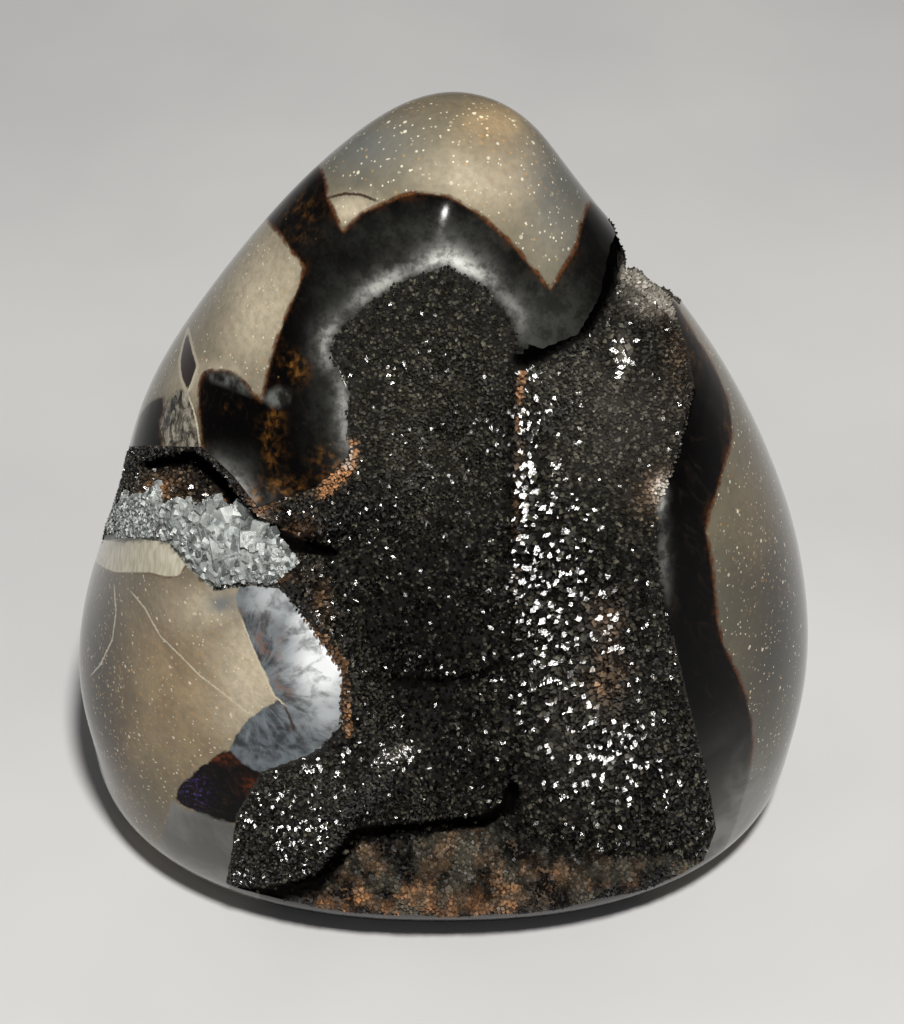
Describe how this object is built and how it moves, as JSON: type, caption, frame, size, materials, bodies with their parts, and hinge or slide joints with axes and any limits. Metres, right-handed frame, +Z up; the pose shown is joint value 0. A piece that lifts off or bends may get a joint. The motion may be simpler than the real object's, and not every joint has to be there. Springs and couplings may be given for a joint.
{
  "type": "septarian nodule",
  "caption": "Polished egg-shaped septarian nodule on a flat base, with an open front hollow lined with small dark crystals and pale calcite in a side fissure.",
  "frame": {"origin": "middle of the flat resting face, near the centre of the footprint", "axes": "+Z up from the flat base to the tip, -Y out of the mouth of the hollow, +X to the right seen from the mouth"},
  "size_m": [0.0914, 0.0678, 0.105],
  "materials": {
    "stone": "polished limestone with dark calcite veins",
    "druse": "small dark crystals with bright faces",
    "calcite": "cloudy pale crystal"
  },
  "bodies": {
    "root": {"nodule": "stone", "druzy_crust": "druse", "pale_calcite": "calcite"}
  },
  "joints": []
}
